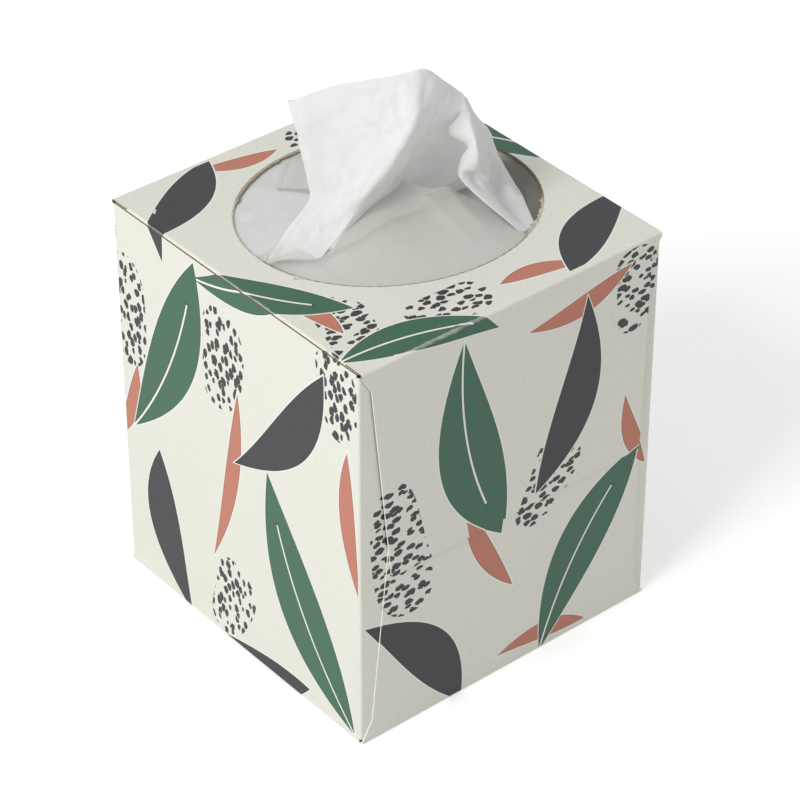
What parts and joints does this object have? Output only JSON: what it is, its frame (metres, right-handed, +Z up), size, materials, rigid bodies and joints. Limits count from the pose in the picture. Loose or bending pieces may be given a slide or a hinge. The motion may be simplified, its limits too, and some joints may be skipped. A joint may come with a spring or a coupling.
{
  "type": "tissue box",
  "caption": "Cube-shaped folded carton of facial tissues with a torn oval opening, a slit film window and one tissue drawn up through it.",
  "frame": {"origin": "middle of the base, on the surface that the box stands on", "axes": "+Z up through the opening, -Y out of the front panel below the glued seam, +X out of one glued end closure"},
  "size_m": [0.11, 0.107, 0.1727],
  "materials": {
    "boxboard": "matte",
    "film": "gloss",
    "tissue_pack": "matte",
    "popup_tissue": "matte"
  },
  "bodies": {
    "root": {"carton": "boxboard", "window_film": "film", "tissue_pack": "tissue_pack", "popup_tissue": "popup_tissue"}
  },
  "joints": []
}
